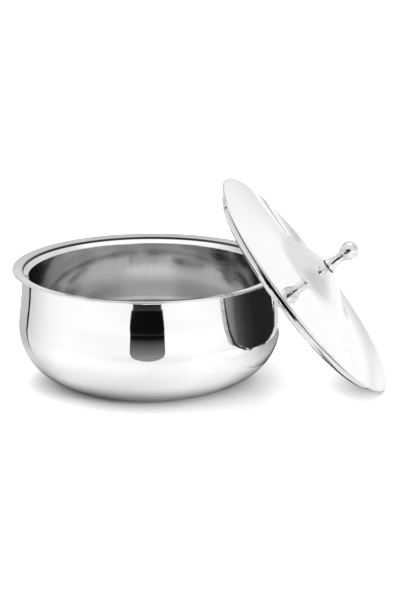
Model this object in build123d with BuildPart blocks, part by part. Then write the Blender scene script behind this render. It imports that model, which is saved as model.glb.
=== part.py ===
from build123d import *
import os
from math import sin, cos, tan, radians, hypot

# Insulated chapati casserole, double-wall steel, with a loose double-wall lid.
# Millimetres, +Z up, origin at the middle of the base on the table.
# The lid is drawn leaning on the pot's rim with its lower edge on the table.

os.makedirs("parts", exist_ok=True)

# ---------------------------------------------------------------- dimensions
sheet = 0.6                 # steel sheet, all drawn parts
foam_gap = 0.12             # clearance round the foam fillings

# pot, outer shell
plate_r = 62.0              # base plate radius
ring_in_r = 54.0            # inner radius of the shell's turned-in base ring
ring_z = 0.65               # underside of the base ring
neck_r = 110.0              # outside radius of the neck under the rim
# outside profile, corner points and the radii that round them
belly = [(ring_in_r, ring_z), (78.9, ring_z), (112.4, 23.1), (113.55, 50.9),
         (neck_r, 80.0)]
belly_rad = [41.8, 45.5, 44.2, 168.4]

# pot, rim: flat sloping flange with a rolled lip
lip_r = 118.0               # outside radius of the rolled lip
rim_z = 100.0               # top of the rolled lip
hem_r = 1.0                 # outside radius of the roll
hem_fillet = 0.98
flange_slope = radians(10.0)
flange_len = 8.05
curl_len = 3.6
step_r = 108.65             # foot of the small step inside the flange
step_z = 96.95
ledge_r = 103.75            # inner edge of the sloping ledge
ledge_z = 93.75

# pot, inner bowl
bowl_floor_z = 10.2
bowl_foot_r = 102.9
bowl_corner = 34.0

# foam filling hole and plug, pot and lid alike
fill_hole_r = 5.0
dimple_r = 10.0
dimple_h = 1.2
pot_fill_x = 34.0
lid_fill_y = 46.0

# lid, in its own frame: radius from its axis, height above its edge plane
lid_edge_r = 112.7          # outside radius of the rolled edge
lid_top_h = 24.3            # flat at the middle, where the knob stands
# outside profile of the bell and cone, corner points and their radii
lid_cone = [(2.6, lid_top_h), (8.45, lid_top_h), (22.7, 19.4), (43.9, 8.5),
            (111.15, hem_r)]
lid_cone_rad = [7.5, 111.8, 35.0, 8.7]
skirt_r = 105.8             # outside radius of the skirt
skirt_h = 9.3               # skirt bottom below the edge plane
skirt_corner = 4.5
pan_h = 6.0                 # underside of the raised pan below the edge plane
pan_foot_r = 98.5
pan_r = 96.0

# knob
gasket_t = 0.6
stem_foot_r = 6.5
ball_r = 8.3
ball_h = 46.8               # ball centre above the lid's edge plane
ball_seat_gap = 0.05
screw_r = 2.0
thread_hole_r = 2.1

# leaning lid: the lid's axis is tilted by lean_tilt towards lean_dir,
# its rolled edge stands on the table and its pan rests on the pot's lip
lean_dir = radians(-6.2)
lean_tilt = radians(50.8)
lean_rho = 135.4            # lid centre to pot axis
table_gap = 0.02
lean_z = (lid_edge_r - hem_r) * sin(lean_tilt) + hem_r + table_gap

# ------------------------------------------------------------ helper geometry


def shifted(pts, t):
    """Polyline moved sideways by t, to the left of its direction, mitred."""
    segs = []
    for (x0, y0), (x1, y1) in zip(pts[:-1], pts[1:]):
        d = hypot(x1 - x0, y1 - y0)
        nx, ny = -(y1 - y0) / d, (x1 - x0) / d
        segs.append(((x0 + nx * t, y0 + ny * t), (x1 + nx * t, y1 + ny * t)))
    out = [segs[0][0]]
    for (a, b), (c, d) in zip(segs[:-1], segs[1:]):
        ux, uy, vx, vy = b[0] - a[0], b[1] - a[1], d[0] - c[0], d[1] - c[1]
        k = ((c[0] - a[0]) * vy - (c[1] - a[1]) * vx) / (ux * vy - uy * vx)
        out.append((a[0] + ux * k, a[1] + uy * k))
    out.append(segs[-1][1])
    return out


def shifted_radii(pts, radii, t):
    """Corner radii of the polyline moved to the left by t."""
    out = []
    for i, r in enumerate(radii):
        (ax, ay), (bx, by), (cx, cy) = pts[i:i + 3]
        turn = (bx - ax) * (cy - by) - (by - ay) * (cx - bx)
        out.append(r - t if turn > 0 else r + t)
    return out


def level_at(a, b, x):
    """Height of the line through a and b at x."""
    return a[1] + (b[1] - a[1]) * (x - a[0]) / (b[0] - a[0])


# pot rim, built about the centre of the rolled lip
fx, fy = cos(flange_slope), sin(flange_slope)       # along the flange, outwards
c0 = (lip_r - hem_r, rim_z - hem_r)


def rim_pt(along, up):
    return (c0[0] + fx * along - fy * up, c0[1] + fy * along + fx * up)


# outer shell: the neck turns out into a flange that lies inside the roll
flange_foot = (neck_r, c0[1] - 0.3 / fx - (c0[0] - neck_r) * tan(flange_slope))
shell_pts = belly + [flange_foot, rim_pt(-0.05, -0.3)]
shell_rad = belly_rad + [2.2]

# inner bowl, cavity side, from the middle of the floor to the end of the curl
bowl_pts = [(0, bowl_floor_z), (bowl_foot_r, bowl_floor_z), (ledge_r, ledge_z),
            (step_r, step_z), rim_pt(-flange_len, hem_r), rim_pt(hem_r, hem_r),
            rim_pt(hem_r, -hem_r), rim_pt(-curl_len, -hem_r)]
bowl_rad = [bowl_corner, 1.2, 0.5, 0.8, hem_fillet, hem_fillet]

# lid top shell: the cone, then the rolled edge
cone_pts = lid_cone + [(lid_edge_r, hem_r), (lid_edge_r, -hem_r),
                       (lid_edge_r - hem_r - 3.3, -hem_r)]
cone_rad = lid_cone_rad + [hem_fillet, hem_fillet]

# lid inner shell, visible side, from its edge in the roll to the pan's middle
pan_pts = [(lid_edge_r - hem_r - 0.2, -0.3), (skirt_r, -0.3), (skirt_r, -skirt_h),
           (pan_foot_r, -skirt_h), (pan_r, -pan_h), (0, -pan_h)]
pan_rad = [1.2, skirt_corner, 1.6, 1.0]

# lid frame
ux, uy = cos(lean_dir), sin(lean_dir)
lid_c = Vector(lean_rho * ux, lean_rho * uy, lean_z)
lid_n = Vector(sin(lean_tilt) * ux, sin(lean_tilt) * uy, cos(lean_tilt))
lid_x = Vector(cos(lean_tilt) * ux, cos(lean_tilt) * uy, -sin(lean_tilt))
lid_side = Plane(origin=lid_c, x_dir=lid_x, z_dir=lid_x.cross(lid_n))
lid_axis = Axis(lid_c, lid_n)


def lid_level(h):
    """Plane across the lid's axis at height h above the edge plane."""
    return Plane(origin=lid_c + lid_n * h, x_dir=lid_x, z_dir=lid_n)


# ------------------------------------------------------------------ the pot
def sheet_profile(pts, radii, t):
    """Closed outline of a sheet: a rounded polyline and its parallel at t."""
    other = shifted(pts, t)
    FilletPolyline(*pts, radius=radii)
    Line(pts[-1], other[-1])
    FilletPolyline(*reversed(other),
                   radius=list(reversed(shifted_radii(pts, radii, t))))
    Line(other[0], pts[0])


with BuildPart() as outer_shell:
    with BuildSketch(Plane.XZ):
        with BuildLine():
            sheet_profile(shell_pts, shell_rad, sheet)
        make_face()
    revolve(axis=Axis.Z)

with BuildPart() as inner_bowl:
    with BuildSketch(Plane.XZ):
        with BuildLine():
            sheet_profile(bowl_pts, bowl_rad, -sheet)
        make_face()
    revolve(axis=Axis.Z)

with BuildPart() as base_plate:
    with BuildSketch(Plane.XY):
        Circle(plate_r)
    extrude(amount=sheet)
    with BuildSketch(Plane.XY):
        with Locations((pot_fill_x, 0)):
            Circle(dimple_r + sheet)
    extrude(amount=dimple_h + sheet)
    with BuildSketch(Plane.XY):
        with Locations((pot_fill_x, 0)):
            Circle(dimple_r)
    extrude(amount=dimple_h, mode=Mode.SUBTRACT)
    with BuildSketch(Plane.XY):
        with Locations((pot_fill_x, 0)):
            Circle(fill_hole_r)
    extrude(amount=10, mode=Mode.SUBTRACT)
    fillet(base_plate.edges().filter_by(GeomType.CIRCLE)
           .filter_by(lambda e: abs(e.radius - plate_r) < 0.01)
           .group_by(Axis.Z)[0], 0.35)


def plug_profile(face_z, up):
    """Half profile of a filling-hole plug: (radius, height) pairs.

    face_z is the underside of the sheet round the dimple, and up is +1."""
    top = face_z + dimple_h
    return [(0, top - 0.95), (6.6, top - 0.95), (8.2, top - 0.45), (8.2, top - 0.02),
            (4.9, top - 0.02), (4.9, top + sheet + 0.05), (5.5, top + sheet + 0.5),
            (5.0, top + sheet + 2.4), (3.9, top + sheet + 2.4),
            (3.9, top + 0.6), (0, top + 0.6)]


with BuildPart() as pot_fill_plug:
    with BuildSketch(Plane(origin=(pot_fill_x, 0, 0), x_dir=(1, 0, 0), z_dir=(0, -1, 0))):
        with BuildLine():
            Polyline(*plug_profile(0, 1), close=True)
        make_face()
    revolve(axis=Axis((pot_fill_x, 0, 0), (0, 0, 1)))

foam_top_z = 91.5
t = sheet + foam_gap
foam_side = shifted(belly, t)
foam_back = shifted(bowl_pts[:3], -t)
wall_x = foam_back[1][0] + (foam_back[2][0] - foam_back[1][0]) * \
    (foam_top_z - foam_back[1][1]) / (foam_back[2][1] - foam_back[1][1])
with BuildPart() as pot_insulation:
    with BuildSketch(Plane.XZ):
        with BuildLine():
            FilletPolyline((0, foam_side[0][1]), *foam_side[1:], (neck_r - t, foam_top_z),
                           radius=shifted_radii(belly + [(neck_r, 90)], belly_rad, t))
            Line((neck_r - t, foam_top_z), (wall_x, foam_top_z))
            FilletPolyline((wall_x, foam_top_z), foam_back[1], foam_back[0],
                           radius=[bowl_corner + t])
            Line(foam_back[0], (0, foam_side[0][1]))
        make_face()
    revolve(axis=Axis.Z)
    with BuildSketch(Plane.XY):
        with Locations((pot_fill_x, 0)):
            Circle(dimple_r + sheet + 0.6)
    extrude(amount=dimple_h + sheet + 3.2, mode=Mode.SUBTRACT)

# ------------------------------------------------------------------ the lid
with BuildPart() as lid_top_shell:
    with BuildSketch(lid_side):
        with BuildLine():
            sheet_profile(cone_pts, cone_rad, -sheet)
        make_face()
    revolve(axis=lid_axis)

with BuildPart() as lid_inner_shell:
    with BuildSketch(lid_side):
        with BuildLine():
            sheet_profile(pan_pts, pan_rad, -sheet)
        make_face()
    revolve(axis=lid_axis)
    with BuildSketch(lid_level(-pan_h)):
        with Locations((0, lid_fill_y)):
            Circle(dimple_r + sheet)
    extrude(amount=dimple_h + sheet)
    with BuildSketch(lid_level(-pan_h)):
        with Locations((0, lid_fill_y)):
            Circle(dimple_r)
    extrude(amount=dimple_h, mode=Mode.SUBTRACT)
    with BuildSketch(lid_level(-pan_h - 1)):
        with Locations((0, lid_fill_y)):
            Circle(fill_hole_r)
    extrude(amount=6, mode=Mode.SUBTRACT)

plug_c = lid_level(0).from_local_coords(Vector(0, lid_fill_y, 0))
with BuildPart() as lid_fill_plug:
    with BuildSketch(Plane(origin=plug_c, x_dir=lid_x, z_dir=lid_x.cross(lid_n))):
        with BuildLine():
            Polyline(*plug_profile(-pan_h, 1), close=True)
        make_face()
    revolve(axis=Axis(plug_c, lid_n))

washer_t = 1.0
washer_top = lid_top_h - sheet
head_top = washer_top - washer_t
head_h = 2.8
pocket_r, pocket_z = 11.0, head_top - head_h - 0.8
foam_roof = shifted(lid_cone, -t)
foam_floor = shifted(pan_pts[1:], -t)
edge_x = foam_floor[0][0]
roof_in = (pocket_r, level_at(foam_roof[1], foam_roof[2], pocket_r))
roof_out = (edge_x, level_at(foam_roof[3], foam_roof[4], edge_x))
with BuildPart() as lid_insulation:
    with BuildSketch(lid_side):
        with BuildLine():
            Polyline(foam_floor[-1], (0, pocket_z), (pocket_r, pocket_z), roof_in)
            FilletPolyline(roof_in, foam_roof[2], foam_roof[3], roof_out,
                           radius=shifted_radii(lid_cone[1:], lid_cone_rad[1:3], -t))
            FilletPolyline(roof_out, *foam_floor[1:],
                           radius=shifted_radii(pan_pts[1:], pan_rad[1:], -t))
        make_face()
    revolve(axis=lid_axis)
    with BuildSketch(lid_level(-pan_h)):
        with Locations((0, lid_fill_y)):
            Circle(dimple_r + sheet + 0.6)
    extrude(amount=dimple_h + sheet + 3.2, mode=Mode.SUBTRACT)

gasket_z = lid_top_h
with BuildPart() as knob_gasket:
    with BuildSketch(lid_level(gasket_z)):
        Circle(stem_foot_r + 0.15)
        Circle(screw_r + 0.6, mode=Mode.SUBTRACT)
    extrude(amount=gasket_t)

stem_z = gasket_z + gasket_t
seat_r = ball_r + ball_seat_gap
stem_top_r = 5.3
stem_top_z = ball_h - (seat_r ** 2 - stem_top_r ** 2) ** 0.5
stem_flank = [(stem_foot_r, stem_z + 0.9), (5.75, stem_z + 2.4), (5.0, stem_z + 5.0),
              (4.55, stem_z + 8.2), (4.45, stem_z + 11.0), (4.7, stem_z + 13.4),
              (stem_top_r, stem_top_z)]
with BuildPart() as knob_stem:
    with BuildSketch(lid_side):
        with BuildLine():
            Polyline((0, stem_z), (stem_foot_r - 0.3, stem_z),
                     (stem_foot_r, stem_z + 0.3), stem_flank[0])
            Spline(*stem_flank)
            ThreePointArc((stem_top_r, stem_top_z),
                          (seat_r * sin(radians(20)), ball_h - seat_r * cos(radians(20))),
                          (0, ball_h - seat_r))
            Line((0, ball_h - seat_r), (0, stem_z))
        make_face()
    revolve(axis=lid_axis)
    with BuildSketch(lid_level(stem_z)):
        Circle(thread_hole_r)
    extrude(amount=10.5, mode=Mode.SUBTRACT)

with BuildPart() as knob_ball:
    with BuildSketch(lid_side):
        with BuildLine():
            ThreePointArc((0, ball_h - ball_r), (ball_r, ball_h), (0, ball_h + ball_r))
            Line((0, ball_h + ball_r), (0, ball_h - ball_r))
        make_face()
    revolve(axis=lid_axis)

with BuildPart() as knob_washer:
    with BuildSketch(lid_level(head_top)):
        Circle(6.4)
        Circle(screw_r + 0.25, mode=Mode.SUBTRACT)
    extrude(amount=washer_t)

with BuildPart() as knob_screw:
    with BuildSketch(lid_level(head_top - head_h)):
        Circle(4.2)
    extrude(amount=head_h)
    fillet(knob_screw.edges().filter_by(GeomType.CIRCLE)
           .sort_by(lambda e: (e.center() - lid_c).dot(lid_n))[0], 1.0)
    with BuildSketch(lid_level(head_top)):
        Circle(screw_r)
    extrude(amount=stem_z + 9.5 - head_top)
    with BuildSketch(lid_level(head_top - head_h)):
        Rectangle(4.4, 1.1)
        Rectangle(1.1, 4.4)
    extrude(amount=1.6, mode=Mode.SUBTRACT)

# ------------------------------------------------------------------ output
for name, piece in [("outer_shell", outer_shell), ("inner_bowl", inner_bowl),
                    ("pot_insulation", pot_insulation), ("base_plate", base_plate),
                    ("pot_fill_plug", pot_fill_plug),
                    ("lid_top_shell", lid_top_shell), ("lid_inner_shell", lid_inner_shell),
                    ("lid_insulation", lid_insulation), ("lid_fill_plug", lid_fill_plug),
                    ("knob_gasket", knob_gasket), ("knob_stem", knob_stem),
                    ("knob_ball", knob_ball), ("knob_washer", knob_washer),
                    ("knob_screw", knob_screw)]:
    piece.part.label = name
    export_step(piece.part, "parts/" + name + ".step")
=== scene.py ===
import math

import bpy
from mathutils import Matrix, Vector

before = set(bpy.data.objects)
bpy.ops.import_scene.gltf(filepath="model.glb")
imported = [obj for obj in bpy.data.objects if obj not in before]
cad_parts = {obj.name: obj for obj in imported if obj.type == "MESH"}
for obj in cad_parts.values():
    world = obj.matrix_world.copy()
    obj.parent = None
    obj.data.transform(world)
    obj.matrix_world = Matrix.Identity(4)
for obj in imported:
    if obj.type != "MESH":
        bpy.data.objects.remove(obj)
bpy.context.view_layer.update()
scene = bpy.context.scene

# ------------------------------------------------------------------ the lid's own frame
LEAN_DIR = math.radians(-6.2)
LEAN_TILT = math.radians(50.8)
LID_RHO = 0.1354
LID_Z = 0.0875811
_u = Vector((math.cos(LEAN_DIR), math.sin(LEAN_DIR), 0))
LID_C = _u * LID_RHO + Vector((0, 0, LID_Z))
LID_N = _u * math.sin(LEAN_TILT) + Vector((0, 0, math.cos(LEAN_TILT)))
LID_X = _u * math.cos(LEAN_TILT) - Vector((0, 0, math.sin(LEAN_TILT)))
LID_Y = LID_N.cross(LID_X)
LID_EULER = Matrix((LID_X, LID_Y, LID_N)).transposed().to_euler("XYZ")


# ------------------------------------------------------------------ node helpers
class Net:
    """Short hand for building a material's nodes."""

    def __init__(self, name, tree=None):
        if tree is not None:
            self.t = tree
            return
        self.mat = bpy.data.materials.new(name)
        self.mat.use_nodes = True
        self.t = self.mat.node_tree
        self.t.nodes.clear()
        self.out = self.t.nodes.new("ShaderNodeOutputMaterial")
        self.bsdf = self.t.nodes.new("ShaderNodeBsdfPrincipled")
        self.t.links.new(self.bsdf.outputs[0], self.out.inputs[0])

    def node(self, kind, **props):
        n = self.t.nodes.new(kind)
        for k, v in props.items():
            setattr(n, k, v)
        return n

    def put(self, socket, value):
        if isinstance(value, bpy.types.NodeSocket):
            self.t.links.new(value, socket)
        else:
            socket.default_value = value

    def math(self, op, a, b=0.0, c=None):
        n = self.node("ShaderNodeMath", operation=op)
        self.put(n.inputs[0], a)
        self.put(n.inputs[1], b)
        if c is not None:
            self.put(n.inputs[2], c)
        return n.outputs[0]

    def ramp(self, value, lo, hi, a=0.0, b=1.0, smooth=True):
        n = self.node("ShaderNodeMapRange",
                      interpolation_type="SMOOTHSTEP" if smooth else "LINEAR")
        n.clamp = True
        for i, v in enumerate((value, lo, hi, a, b)):
            self.put(n.inputs[i], v)
        return n.outputs[0]

    def noise(self, vector, scale, detail=2.0, rough=0.5, distortion=0.0):
        n = self.node("ShaderNodeTexNoise")
        self.put(n.inputs["Vector"], vector)
        n.inputs["Scale"].default_value = scale
        n.inputs["Detail"].default_value = detail
        n.inputs["Roughness"].default_value = rough
        n.inputs["Distortion"].default_value = distortion
        return n.outputs["Fac"]

    def combine(self, x, y, z):
        n = self.node("ShaderNodeCombineXYZ")
        for i, v in enumerate((x, y, z)):
            self.put(n.inputs[i], v)
        return n.outputs[0]

    def mix(self, fac, a, b):
        n = self.node("ShaderNodeMix", data_type="RGBA")
        self.put(n.inputs["Factor"], fac)
        for i, v in ((6, a), (7, b)):
            self.put(n.inputs[i], v)
        return n.outputs[2]

    def bump(self, height, distance, strength=1.0, normal=None):
        n = self.node("ShaderNodeBump")
        n.inputs["Strength"].default_value = strength
        n.inputs["Distance"].default_value = distance
        self.put(n.inputs["Height"], height)
        if normal is not None:
            self.put(n.inputs["Normal"], normal)
        return n.outputs[0]

    def place(self, on_lid):
        """(vector, x, y, z, radius) in millimetres, in the pot's frame or in the lid's."""
        tc = self.node("ShaderNodeTexCoord")
        mp = self.node("ShaderNodeMapping", vector_type="TEXTURE")
        self.put(mp.inputs["Vector"], tc.outputs["Object"])
        if on_lid:
            mp.inputs["Location"].default_value = LID_C
            mp.inputs["Rotation"].default_value = LID_EULER
        mp.inputs["Scale"].default_value = (0.001, 0.001, 0.001)
        sp = self.node("ShaderNodeSeparateXYZ")
        self.put(sp.inputs[0], mp.outputs[0])
        x, y, z = sp.outputs
        r = self.math("SQRT", self.math("ADD", self.math("MULTIPLY", x, x),
                                        self.math("MULTIPLY", y, y)))
        return mp.outputs[0], x, y, z, r

    def hoops(self, x, y, z, r, pitch, round_=2.5, detail=3.0):
        """Fine lines that run round the axis, pitch millimetres apart, with no seam."""
        inv = self.math("DIVIDE", round_, self.math("MAXIMUM", r, 0.5))
        s = self.math("DIVIDE", self.math("ADD", z, r), pitch)
        v = self.combine(self.math("MULTIPLY", x, inv), self.math("MULTIPLY", y, inv), s)
        return self.noise(v, 1.0, detail, 0.55)

    def hairs(self, vec, turn, across, along):
        """Straight hair scratches: 0 almost everywhere, 1 on a scratch."""
        mp = self.node("ShaderNodeMapping", vector_type="POINT")
        self.put(mp.inputs["Vector"], vec)
        mp.inputs["Rotation"].default_value = turn
        mp.inputs["Scale"].default_value = (across, along, across * 0.35)
        n = self.noise(mp.outputs[0], 1.0, 2.0, 0.5, 0.15)
        return self.ramp(n, 0.70, 0.78)


def steel(name, base, rough, on_lid=False, lines=0.35, pitch=0.22, scratch=1.0,
          smudge=0.035, wear=None, inside=None, line_bump=0.0012, dark=0.90):
    """Polished or brushed stainless steel with spin lines, hair scratches and smudges."""
    n = Net(name)
    vec, x, y, z, r = n.place(on_lid)
    hoop = n.hoops(x, y, z, r, pitch)
    broad = n.hoops(x, y, z, r, pitch * 14.0, 1.2, 2.0)
    cloud = n.noise(vec, 0.035, 4.0, 0.6)
    grain = n.noise(vec, 0.9, 3.0, 0.55)
    h1 = n.hairs(vec, (0.3, 0.5, 0.4), 1.9, 0.05)
    h2 = n.hairs(vec, (1.1, -0.4, 2.1), 1.6, 0.045)
    h3 = n.hairs(vec, (-0.8, 0.9, 1.2), 2.3, 0.07)
    hair = n.math("MAXIMUM", n.math("MAXIMUM", h1, h2), h3)
    # roughness: base value, spin lines, smudges, scratches
    smear = n.ramp(cloud, 0.42, 0.72)
    ro = n.math("ADD", rough, n.math("MULTIPLY", smear, smudge))
    ro = n.math("ADD", ro, n.math("MULTIPLY", n.math("SUBTRACT", hoop, 0.5), lines * 0.16))
    ro = n.math("ADD", ro, n.math("MULTIPLY", n.math("SUBTRACT", grain, 0.5), 0.02))
    ro = n.math("ADD", ro, n.math("MULTIPLY", hair, 0.10 * scratch))
    tone = n.math("ADD", n.math("MULTIPLY", broad, 0.35), n.math("MULTIPLY", cloud, 0.65))
    tone = n.ramp(tone, 0.35, 0.70, 0.0, 1.0)
    low = tuple(c * dark for c in base) + (1.0,)
    col = n.mix(tone, low, tuple(base) + (1.0,))
    # inside: the part's own finish changes, and painted crease shade, where a part asks for them
    if inside:
        col, ro = inside(n, x, y, z, r, col, ro)
    if wear:
        w = wear(n, x, y, z, r, grain)
        ro = n.math("ADD", ro, n.math("MULTIPLY", w, 0.22))
        col = n.mix(n.math("MULTIPLY", w, 0.55), col,
                    tuple(c * 0.66 for c in base) + (1.0,))
    n.put(n.bsdf.inputs["Base Color"], col)
    n.bsdf.inputs["Metallic"].default_value = 1.0
    n.put(n.bsdf.inputs["Roughness"], n.math("MAXIMUM", ro, 0.025))
    height = n.math("ADD", n.math("MULTIPLY", hoop, lines),
                    n.math("MULTIPLY", hair, -0.5 * scratch))
    n.put(n.bsdf.inputs["Normal"], n.bump(height, line_bump * 0.001, 0.6))
    return n.mat


def pot_wear(n, x, y, z, r, grain):
    """Scuffed ring where the pot stands, rubbed line along the rolled lip."""
    foot = n.ramp(z, 0.8, 3.2, 1.0, 0.0)
    lip = n.math("MULTIPLY", n.ramp(r, 117.2, 117.95), n.ramp(z, 97.6, 98.6))
    lip = n.math("MULTIPLY", lip, 0.35)
    w = n.math("MAXIMUM", foot, lip)
    return n.math("MULTIPLY", w, n.ramp(grain, 0.38, 0.66, 0.25, 1.0))


def bowl_wear(n, x, y, z, r, grain):
    """Rubbed ring round the bowl's floor and along the lip, where a lid and spoons go."""
    floor = n.math("MULTIPLY", n.ramp(z, 10.3, 13.0, 1.0, 0.0), n.ramp(r, 30.0, 70.0))
    lip = n.math("MULTIPLY", n.ramp(r, 117.0, 117.9), 0.5)
    w = n.math("MAXIMUM", n.math("MULTIPLY", floor, 0.4), lip)
    return n.math("MULTIPLY", w, n.ramp(grain, 0.40, 0.66, 0.1, 0.8))


def bowl_wall_and_crease_shade(n, x, y, z, r, col, ro):
    """Duller wall below the ledge, and painted shade: a near-black line painted in the flange's
    crease, where shade falls.
    """
    wall = n.ramp(r, 103.2, 103.9, 1.0, 0.0)
    col = n.mix(wall, col, (0.66, 0.655, 0.65, 1.0))
    ro = n.math("ADD", ro, n.math("MULTIPLY", wall, 0.04))
    # painted shade: the flange's crease is painted near black
    painted_crease_shade = n.math("MULTIPLY", n.ramp(r, 107.9, 108.2), n.ramp(r, 109.0, 109.4, 1.0, 0.0))
    col = n.mix(n.math("MULTIPLY", painted_crease_shade, 0.93), col, (0.03, 0.03, 0.03, 1.0))
    ro = n.math("ADD", ro, n.math("MULTIPLY", painted_crease_shade, 0.25))
    return col, ro


def skirt_crease_shade(n, x, y, z, r, col, ro):
    """Painted shade: a dark line painted in the crease under the rolled edge, where the hem shades
    it, thinner at the low side.
    """
    # painted shade under the rolled edge, near black
    painted_crease_shade = n.math("MULTIPLY", n.ramp(z, -3.75, -3.15), n.ramp(r, 105.0, 105.6))
    painted_crease_shade = n.math("MULTIPLY", painted_crease_shade, n.ramp(x, -20.0, 75.0, 0.92, 0.45, smooth=False))
    col = n.mix(painted_crease_shade, col, (0.03, 0.03, 0.03, 1.0))
    ro = n.math("ADD", ro, n.math("MULTIPLY", painted_crease_shade, 0.15))
    return col, ro


def edge_wear(n, x, y, z, r, grain):
    """Rubbed line along the lid's rolled edge."""
    w = n.math("MULTIPLY", n.ramp(r, 111.9, 112.65), 0.45)
    return n.math("MULTIPLY", w, n.ramp(grain, 0.40, 0.66, 0.1, 1.0))


def moulded(name, base, rough, scale, height, on_lid=False, metallic=0.0, speck=0.25,
            voronoi=False):
    """Moulded rubber, plastic or foam: fine grain, slight colour change, dull and shiny places."""
    n = Net(name)
    vec, x, y, z, r = n.place(on_lid)
    if voronoi:
        v = n.node("ShaderNodeTexVoronoi")
        n.put(v.inputs["Vector"], vec)
        v.inputs["Scale"].default_value = scale
        g = v.outputs["Distance"]
    else:
        g = n.noise(vec, scale, 4.0, 0.65)
    cloud = n.noise(vec, scale * 0.08, 3.0, 0.5)
    fac = n.math("ADD", n.math("MULTIPLY", g, speck), n.math("MULTIPLY", cloud, 1 - speck))
    dark = tuple(c * 0.72 for c in base) + (1.0,)
    light = tuple(min(1.0, c * 1.16 + 0.004) for c in base) + (1.0,)
    n.put(n.bsdf.inputs["Base Color"], n.mix(n.ramp(fac, 0.3, 0.7), dark, light))
    n.put(n.bsdf.inputs["Roughness"], n.ramp(cloud, 0.3, 0.7, rough - 0.08, rough + 0.08))
    n.bsdf.inputs["Metallic"].default_value = metallic
    n.put(n.bsdf.inputs["Normal"], n.bump(g, height * 0.001, 0.8))
    return n.mat


# ------------------------------------------------------------------ materials on the CAD nodes
BRIGHT = (0.925, 0.925, 0.930)
mats = {
    "outer_shell": steel("pot_outside_steel", BRIGHT, 0.035, lines=0.22, smudge=0.02,
                         line_bump=0.0005, dark=0.965, wear=pot_wear),
    "inner_bowl": steel("bowl_steel", (0.86, 0.86, 0.865), 0.070, lines=0.55, pitch=0.30,
                        smudge=0.04, line_bump=0.0008, wear=bowl_wear, inside=bowl_wall_and_crease_shade),
    "base_plate": steel("base_steel", (0.62, 0.62, 0.625), 0.26, lines=1.0, pitch=0.35,
                        smudge=0.08, scratch=1.5, line_bump=0.004, dark=0.8),
    "lid_top_shell": steel("lid_outside_steel", (0.89, 0.89, 0.895), 0.035, on_lid=True, lines=0.22,
                           smudge=0.02, line_bump=0.0005, dark=0.965, wear=edge_wear),
    "lid_inner_shell": steel("lid_inside_steel", (0.77, 0.77, 0.775), 0.055, on_lid=True,
                             lines=0.35, pitch=0.30, smudge=0.025, line_bump=0.0006, dark=0.94,
                             inside=skirt_crease_shade),
    "knob_stem": steel("knob_stem_steel", (0.84, 0.84, 0.845), 0.06, on_lid=True,
                       lines=0.5, pitch=0.16, smudge=0.03),
    "knob_ball": steel("knob_ball_steel", (0.86, 0.86, 0.865), 0.05, on_lid=True,
                       lines=0.3, pitch=0.14, smudge=0.045),
    "knob_washer": steel("washer_steel", (0.58, 0.58, 0.59), 0.28, on_lid=True, lines=0.8,
                         pitch=0.3, line_bump=0.003, dark=0.8),
    "knob_screw": steel("screw_steel", (0.52, 0.52, 0.53), 0.25, on_lid=True, lines=0.8,
                        pitch=0.2, line_bump=0.003, dark=0.8),
    "knob_gasket": moulded("gasket_rubber", (0.022, 0.022, 0.022), 0.62, 2.2, 0.03, True),
    "pot_fill_plug": moulded("pot_plug_plastic", (0.05, 0.05, 0.052), 0.5, 3.0, 0.03),
    "lid_fill_plug": moulded("lid_plug_plastic", (0.05, 0.05, 0.052), 0.5, 3.0, 0.03, True),
    "pot_insulation": moulded("pot_foam", (0.80, 0.70, 0.46), 0.85, 1.1, 0.35,
                              voronoi=True),
    "lid_insulation": moulded("lid_foam", (0.80, 0.70, 0.46), 0.85, 1.1, 0.35, True,
                              voronoi=True),
}
for name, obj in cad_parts.items():
    obj.data.materials.clear()
    obj.data.materials.append(mats[name])

# ------------------------------------------------------------------ floor
bpy.ops.mesh.primitive_plane_add(size=1, location=(0, 0, -0.0002))
floor = bpy.context.object
floor.name = "studio_floor"
floor.scale = (14, 14, 1)
fm = Net("studio_floor_paper")
tc = fm.node("ShaderNodeTexCoord")
paper = fm.noise(tc.outputs["Object"], 60.0, 3.0, 0.6)
fm.put(fm.bsdf.inputs["Base Color"],
       fm.mix(paper, (0.905, 0.905, 0.905, 1), (0.925, 0.925, 0.925, 1)))
# the far paper glows a little, painted light, so that it runs into the white behind
far_away = fm.node("ShaderNodeNewGeometry")
far_len = fm.node("ShaderNodeVectorMath")
far_len.operation = "LENGTH"
fm.put(far_len.inputs[0], far_away.outputs["Position"])
fm.bsdf.inputs["Emission Color"].default_value = (1, 1, 1, 1)
fm.put(fm.bsdf.inputs["Emission Strength"], fm.ramp(far_len.outputs["Value"], 1.8, 4.0, 0.0, 0.45))
fm.bsdf.inputs["Roughness"].default_value = 0.85
fm.bsdf.inputs["Specular IOR Level"].default_value = 0.1
floor.data.materials.append(fm.mat)

# ------------------------------------------------------------------ world: a white tent
# white to ten degrees up, a little greyer above, bright overhead; greyer behind and at the right
world = bpy.data.worlds.new("tent")
scene.world = world
world.use_nodes = True
world.node_tree.nodes.clear()
w = Net("tent", world.node_tree)
wo = w.node("ShaderNodeOutputWorld")
wb = w.node("ShaderNodeBackground")
wc = w.node("ShaderNodeTexCoord")
wx = w.node("ShaderNodeSeparateXYZ")
w.put(wx.inputs[0], wc.outputs["Generated"])


def stops(net, value, points):
    r = net.node("ShaderNodeValToRGB")
    net.put(r.inputs[0], value)
    r.color_ramp.elements[0].position, v0 = points[0]
    r.color_ramp.elements[1].position, v1 = points[-1]
    r.color_ramp.elements[0].color = (v0, v0, v0, 1)
    r.color_ramp.elements[1].color = (v1, v1, v1, 1)
    for p_, v in points[1:-1]:
        e = r.color_ramp.elements.new(p_)
        e.color = (v, v, v, 1)
    return r.outputs[0]


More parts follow.
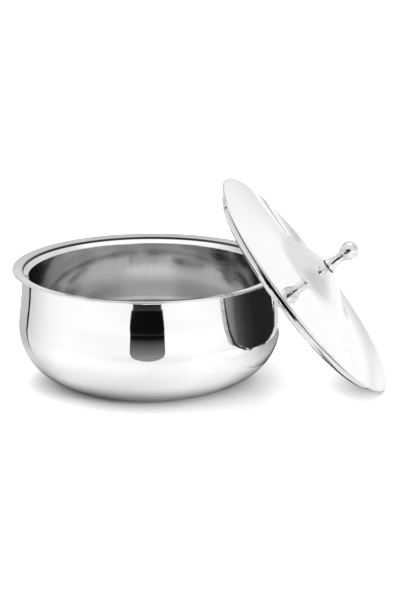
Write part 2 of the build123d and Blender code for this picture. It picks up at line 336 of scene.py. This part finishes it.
up = stops(w, wx.outputs[2], [(0.0, 1.10), (0.13, 1.10), (0.32, 0.92), (0.56, 0.86),
                              (0.80, 0.92), (1.0, 0.92)])
turn = w.math("ARCTAN2", wx.outputs[0], wx.outputs[1])
turn = w.math("DIVIDE", w.math("ADD", turn, math.pi), 2 * math.pi)
around = stops(w, turn, [(((a + 180) / 360), v) for a, v in
                         ((-180, 1.0), (-41, 1.0), (-40, 0.80), (0, 0.76), (11, 0.72),
                          (18, 0.86), (26, 1.0), (56, 0.97), (66, 0.80), (104, 0.80),
                          (128, 1.0), (180, 1.0))])
# the sideways change fades out towards the zenith
high = w.ramp(wx.outputs[2], 0.70, 0.92)
around = w.math("ADD", w.math("MULTIPLY", around, w.math("SUBTRACT", 1.0, high)), high)
# soft bright window a little behind the zenith
window = w.math("ADD", w.math("MULTIPLY", wx.outputs[1], 0.26),
                w.math("MULTIPLY", wx.outputs[2], 0.966))
window = w.ramp(window, 0.88, 0.955, 0.0, 0.38)
sky = w.math("ADD", w.math("MULTIPLY", up, around), window)
w.put(wb.inputs["Color"], w.combine(sky, sky, sky))
wb.inputs["Strength"].default_value = 1.0
world.node_tree.links.new(wb.outputs[0], wo.inputs[0])


def glow(name, loc, look, size, power, seen=True, shape="RECTANGLE", colour=(1, 1, 1)):
    d = bpy.data.lights.new(name, "AREA")
    d.shape = shape
    d.size, d.size_y = size
    d.energy = power
    d.color = colour
    o = bpy.data.objects.new(name, d)
    scene.collection.objects.link(o)
    o.location = loc
    o.rotation_euler = (Vector(look) - Vector(loc)).to_track_quat("-Z", "Y").to_euler()
    o.visible_glossy = seen
    o.visible_camera = False
    return o


glow("top_light", (0.0, -0.1, 2.4), (0.05, 0, 0), (6.0, 6.0), 105.0, seen=False)
glow("back_low", (0.45, 2.0, 0.80), (0.12, 0.0, 0.0), (1.6, 0.9), 66.0, seen=False)
glow("front_right_low", (1.6, -1.6, 0.62), (0.15, -0.05, 0.0), (1.2, 0.8), 46.0, seen=False)
# small lamp low down between pot and lid, which lifts the shade on the floor there
glow("gap_light", (0.138, -0.03, 0.033), (0.152, -0.03, 0.0), (0.20, 0.018), 0.030, seen=False)


def reflection_only_card(name, verts, faces, shade):
    """A glowing card that paints a reflection: only reflections see it, it casts no shadow and
    gives no light to dull surfaces. shade(net) gives its colour, 0 black to 1 white.
    """
    me = bpy.data.meshes.new(name)
    me.from_pydata(verts, [], faces)
    me.update()
    o = bpy.data.objects.new(name, me)
    scene.collection.objects.link(o)
    n = Net(name + "_card")
    n.t.nodes.remove(n.bsdf)
    em = n.node("ShaderNodeEmission")
    n.put(em.inputs["Color"], shade(n) if callable(shade) else (shade, shade, shade, 1))
    n.t.links.new(em.outputs[0], n.out.inputs[0])
    me.materials.append(n.mat)
    o.visible_camera = False
    o.visible_diffuse = False
    o.visible_shadow = False
    o.visible_transmission = False
    o.visible_volume_scatter = False
    return o


def plate(points, z=None):
    """One polygon, from (x, y) points at height z, or from (x, y, z) points."""
    v = [(p[0], p[1], z) if z is not None else p for p in points]
    return v, [tuple(range(len(v)))]


def ramp_y(points, axis=1):
    """Shade along Y, or another axis, from (place, value) points, straight between them."""
    def shade(n):
        tc_ = n.node("ShaderNodeTexCoord")
        sp = n.node("ShaderNodeSeparateXYZ")
        n.put(sp.inputs[0], tc_.outputs["Object"])
        lo, hi = points[0][0], points[-1][0]
        t = n.ramp(sp.outputs[axis], lo, hi, 0.0, 1.0, smooth=False)
        v = stops(n, t, [((y - lo) / (hi - lo), c) for y, c in points])
        return n.combine(v, v, v)
    return shade


# painted shade in reflections: a see-through grey card just over the floor that only reflections
# see, so that reflections see the paper at about half its brightness, a little less at the left
# behind and at the right behind
def reflection_dimmer_tone(n):
    tc_ = n.node("ShaderNodeTexCoord")
    sp = n.node("ShaderNodeSeparateXYZ")
    n.put(sp.inputs[0], tc_.outputs["Object"])
    x, y = sp.outputs[0], sp.outputs[1]
    a = n.math("ARCTAN2", n.math("ADD", x, 0.06), n.math("ADD", y, 0.04))
    a = n.math("DIVIDE", n.math("ADD", a, math.pi), 2 * math.pi)
    side = stops(n, a, [((k + 180) / 360, v) for k, v in
                        ((-180, 0.56), (-150, 0.58), (-110, 0.58), (-90, 0.535), (-75, 0.45),
                         (-55, 0.36), (-40, 0.44), (14, 0.45), (40, 0.47), (105, 0.47),
                         (150, 0.48), (180, 0.56))])
    shade = stops(n, a, [((k + 180) / 360, v) for k, v in
                         ((-180, 0.73), (-150, 0.73), (-120, 0.66), (-105, 0.585), (-90, 0.52),
                          (-75, 0.465), (-30, 0.45), (40, 0.55), (75, 0.92), (105, 0.98),
                          (120, 0.92), (135, 0.76), (150, 0.70), (180, 0.73))])
    d = n.math("SQRT", n.math("ADD", n.math("MULTIPLY", x, x), n.math("MULTIPLY", y, y)))
    # lighter in the pot's own shade, darker where the pot touches the paper
    side = n.math("MULTIPLY", side, n.ramp(d, 0.28, 0.75, 1.0, 1.08))
    # painted shade in reflections: the floor left behind greyer, with one crisp edge on the left
    # that runs out from the pot
    edge = n.math("ADD", n.math("MULTIPLY", n.math("ADD", x, 0.149), 0.677),
                  n.math("MULTIPLY", n.math("ADD", y, 0.009), 0.736))
    grey = n.math("MULTIPLY", n.ramp(edge, -0.001, 0.001), n.ramp(a, 0.445, 0.475, 1.0, 0.0))
    grey = n.math("MULTIPLY", grey, n.ramp(d, 0.75, 1.6, 1.0, 0.0))
    grey = n.math("MULTIPLY", grey, n.ramp(d, 0.125, 0.20))
    near = n.ramp(d, 0.15, 0.34, 1.0, 0.0)
    tone = n.math("ADD", n.math("MULTIPLY", side, n.math("SUBTRACT", 1.0, near)),
                  n.math("MULTIPLY", near, shade))
    tone = n.math("ADD", n.math("MULTIPLY", tone, n.math("SUBTRACT", 1.0, grey)),
                  n.math("MULTIPLY", grey, 0.31))
    # a little darker beside the lid's low side
    low = n.math("MULTIPLY", n.ramp(y, -0.13, -0.07), n.ramp(y, 0.45, 0.70, 1.0, 0.0))
    beside = stops(n, n.ramp(x, 0.20, 0.34, 0.0, 1.0, smooth=False),
                   [(0.0, 0.40), (0.29, 0.24), (0.50, 0.10), (0.71, 0.04), (1.0, 0.0)])
    beside = n.math("MULTIPLY", beside, n.ramp(x, 0.195, 0.205))
    tone = n.math("MULTIPLY", tone,
                  n.math("SUBTRACT", 1.0, n.math("MULTIPLY", low, beside)))
    tone = n.math("MULTIPLY", tone, n.ramp(d, 0.078, 0.110, 0.42, 1.0))
    # darker close to the pot at its right
    close = stops(n, a, [((k + 180) / 360, v) for k, v in
                         ((-180, 0.0), (30, 0.0), (60, 0.61), (75, 0.61), (82, 0.50), (88, 0.37),
                          (95, 0.22), (104, 0.0), (180, 0.0))])
    close = n.math("MULTIPLY", close, n.ramp(d, 0.108, 0.124, 1.0, 0.0))
    tone = n.math("MULTIPLY", tone, n.math("SUBTRACT", 1.0, close))
    # painted light in reflections: lighter floor in front at the right
    front = stops(n, a, [((k + 180) / 360, v) for k, v in
                         ((-180, 0.0), (100, 0.0), (118, 0.07), (135, 0.12), (152, 0.12),
                          (168, 0.0), (180, 0.0))])
    front = n.math("MULTIPLY", front, n.ramp(d, 0.22, 0.32))
    front = n.math("MULTIPLY", front, n.ramp(d, 0.45, 0.65, 1.0, 0.0))
    tone = n.math("MULTIPLY", tone, n.math("ADD", 1.0, front))
    # darker again well behind the lid, where the low light at the back falls on the paper
    behind = stops(n, a, [((k + 180) / 360, v) for k, v in
                          ((-180, 0.0), (-12, 0.0), (4, 0.60), (20, 0.56), (30, 0.30),
                           (48, 0.12), (62, 0.0), (180, 0.0))])
    behind = n.math("MULTIPLY", behind, n.ramp(d, 0.55, 1.0))
    behind = n.math("MULTIPLY", behind, n.ramp(d, 2.0, 3.2, 1.0, 0.0))
    tone = n.math("MULTIPLY", tone, n.math("SUBTRACT", 1.0, behind))
    # far off it runs into the white behind; lighter where the tent behind is lighter
    far = n.ramp(d, 1.6, 4.5)
    out = stops(n, a, [((k + 180) / 360, v) for k, v in
                       ((-180, 0.72), (10, 0.72), (22, 0.82), (50, 0.82), (62, 0.72), (180, 0.72))])
    return n.math("ADD", n.math("MULTIPLY", tone, n.math("SUBTRACT", 1.0, far)),
                  n.math("MULTIPLY", far, out))


# painted shade card: it dims the floor only where reflections see it
dimmer_card = reflection_only_card("floor_reflection_dimmer", *plate([(-7, -7), (7, -7), (7, 7), (-7, 7)], 0.0003), 1.0)
nm = Net("floor_reflection_dimmer_shade")
nm.t.nodes.remove(nm.bsdf)
dimmer_bsdf = nm.node("ShaderNodeBsdfTransparent")
nm.put(dimmer_bsdf.inputs[0], reflection_dimmer_tone(nm))
nm.t.links.new(dimmer_bsdf.outputs[0], nm.out.inputs[0])
dimmer_card.data.materials[0] = nm.mat

# painted reflection: a tall narrow black card in front of the pot, seen only in reflections, a
# little wider above its foot
reflection_only_card("front_black_reflection_card", *plate([(-0.084, -0.400, 0.0), (0.084, -0.400, 0.0), (0.084, -0.400, 0.0045),
                           (0.0745, -0.400, 0.0055), (0.0755, -0.400, 0.012),
                           (0.086, -0.400, 0.020), (0.090, -0.400, 0.040),
                           (0.090, -0.400, 0.115), (-0.090, -0.400, 0.115),
                           (-0.090, -0.400, 0.040), (-0.086, -0.400, 0.020),
                           (-0.0755, -0.400, 0.012), (-0.0745, -0.400, 0.0055),
                           (-0.084, -0.400, 0.0045)]),
     ramp_y([(0.0, 0.030), (0.0095, 0.030), (0.0125, 0.004), (0.115, 0.004)], axis=2))
# painted reflection: a grey card nearer the pot, seen only in reflections, black at its top edge,
# with a rounded foot
CARD = [(0.0362, 0.0618), (0.0362, 0.0430), (0.0340, 0.0370), (0.0275, 0.0290),
        (0.0210, 0.0250), (0.0105, 0.0220), (0.0, 0.0210)]
reflection_only_card("front_grey_reflection_card", *plate([(0.00115 + x, -0.200, z) for x, z in CARD] +
                          [(0.00115 - x, -0.200, z) for x, z in CARD[-2::-1]]),
     ramp_y([(0.0210, 0.30), (0.0300, 0.285), (0.0376, 0.26), (0.0491, 0.20), (0.0526, 0.142),
             (0.0560, 0.10), (0.0585, 0.062), (0.0606, 0.026), (0.0618, 0.012)], axis=2))


# painted reflection tone: darkest in the middle, lighter towards the right end and the top
def dark_room_reflection_tone(n):
    tc_ = n.node("ShaderNodeTexCoord")
    sp = n.node("ShaderNodeSeparateXYZ")
    n.put(sp.inputs[0], tc_.outputs["Object"])
    v = n.math("MAXIMUM", n.ramp(sp.outputs[0], 0.10, 0.50, 0.01, 0.92),
               n.ramp(sp.outputs[2], 0.55, 1.00, 0.01, 0.86))
    return n.combine(v, v, v)


# painted reflection: a dark card for the room beyond the tent's opening, behind the camera, seen
# only in reflections
reflection_only_card("dark_room_reflection", *plate([(-1.32, -1.10, 0.14), (0.50, -1.10, 0.14), (0.50, -1.10, 1.00),
                          (-1.32, -1.10, 1.00)]), dark_room_reflection_tone)
# painted reflection: a dark strip for the edge of the back wall, seen only in reflections, by the
# lid's skirt
reflection_only_card("wall_edge_reflection", *plate([(-1.905, 2.22, 0.25), (-1.807, 2.30, 0.25), (-1.807, 2.30, 3.2),
                          (-1.905, 2.22, 3.2)]), 0.010)

# painted reflection, left behind: a narrow dark line along the crisp edge of the paper, seen only
# in reflections
DARK_LINE_WIDTHS = [(0.0, 0.0004), (0.041, 0.0012), (0.070, 0.0028), (0.102, 0.0036), (0.149, 0.0062),
       (0.207, 0.0085), (0.273, 0.013), (0.40, 0.016), (0.62, 0.020)]
dark_line_outline = [(-0.149 - 0.736 * t + side * 0.677 * h, -0.009 + 0.677 * t + side * 0.736 * h)
            for side, row in ((-1, DARK_LINE_WIDTHS), (1, DARK_LINE_WIDTHS[::-1])) for t, h in row]
reflection_only_card("back_left_dark_reflection_line", *plate(dark_line_outline, 0.0010), 0.01)

# painted light in reflections: a glowing card on the floor in front of and under the lid's low
# side, seen only in reflections
reflection_only_card("lid_light_reflection_card", *plate([(0.070, -0.195), (0.205, -0.195), (0.205, -0.045), (0.112, -0.045),
                          (0.104, -0.085)], 0.0005),
     ramp_y([(-0.195, 1.12), (-0.150, 1.12), (-0.120, 1.10), (-0.090, 1.05), (-0.060, 0.90),
             (-0.045, 0.76)]))
# painted reflections: leaning slats of glowing card on the floor under the lid, seen only in
# reflections: dark from above, light from the pot's side
dark = ramp_y([(-0.170, 0.64), (-0.125, 0.44), (-0.104, 0.27), (-0.092, 0.11), (-0.065, 0.045),
               (-0.030, 0.022), (0.120, 0.022)])
light = ramp_y([(-0.170, 1.18), (-0.120, 1.15), (-0.080, 1.07), (-0.065, 0.98), (-0.044, 0.87),
                (-0.022, 0.67), (0.005, 0.53), (0.050, 0.41), (0.120, 0.40)])
X0, X1, Y1, STEP, TALL, LEAN = 0.108, 0.192, 0.120, 0.003, 0.006, 0.00275
# where each slat starts in front: the slats stop short of what the lid's skirt sees
START = [(0.108, -0.085), (0.1265, -0.090), (0.127, -0.170), (0.1495, -0.170), (0.150, -0.100),
         (0.158, -0.088), (0.168, -0.078), (0.178, -0.060), (0.192, -0.048)]


def start(x):
    for (xa, ya), (xb, yb) in zip(START, START[1:]):
        if xa <= x <= xb:
            return ya + (yb - ya) * (x - xa) / (xb - xa)
    return START[0][1] if x < X0 else START[-1][1]


reflection_only_card("slat_reflection_floor", *plate([(x + 0.0025, y) for x, y in START] + [(X1, Y1), (X0, Y1)], 0.0006),
     dark)
for part, dx, shade in (("slat_reflection_dark", 0.0001, dark), ("slat_reflection_light", 0.0, light)):
    fv, ff = [], []
    for k in range(int(round((X1 - X0) / STEP)) + 1):
        x0, x1, i = X0 + STEP * k + dx, X0 + STEP * k - LEAN - dx, len(fv)
        y0, top = start(X0 + STEP * k - 0.5 * LEAN), TALL + 2 * dx
        fv += [(x0, y0, 0.0007), (x0, Y1, 0.0007), (x1, Y1, top), (x1, y0, top)]
        ff.append((i, i + 1, i + 2, i + 3))
    reflection_only_card(part, fv, ff, shade)

# ------------------------------------------------------------------ camera
cam_data = bpy.data.cameras.new("camera")
cam = bpy.data.objects.new("camera", cam_data)
scene.collection.objects.link(cam)
cam.location = (0.0442, -1.34706, 0.44938)
cam.rotation_euler = (math.radians(90 - 15.81), 0, 0)
cam_data.sensor_fit = "VERTICAL"
cam_data.sensor_height = 36.0
cam_data.sensor_width = 36.0
cam_data.lens = 1612.14 / 601 * 36.0
cam_data.clip_start = 0.05
cam_data.clip_end = 60
scene.camera = cam

scene.view_settings.view_transform = "Standard"
scene.view_settings.look = "None"
scene.view_settings.exposure = 0.0
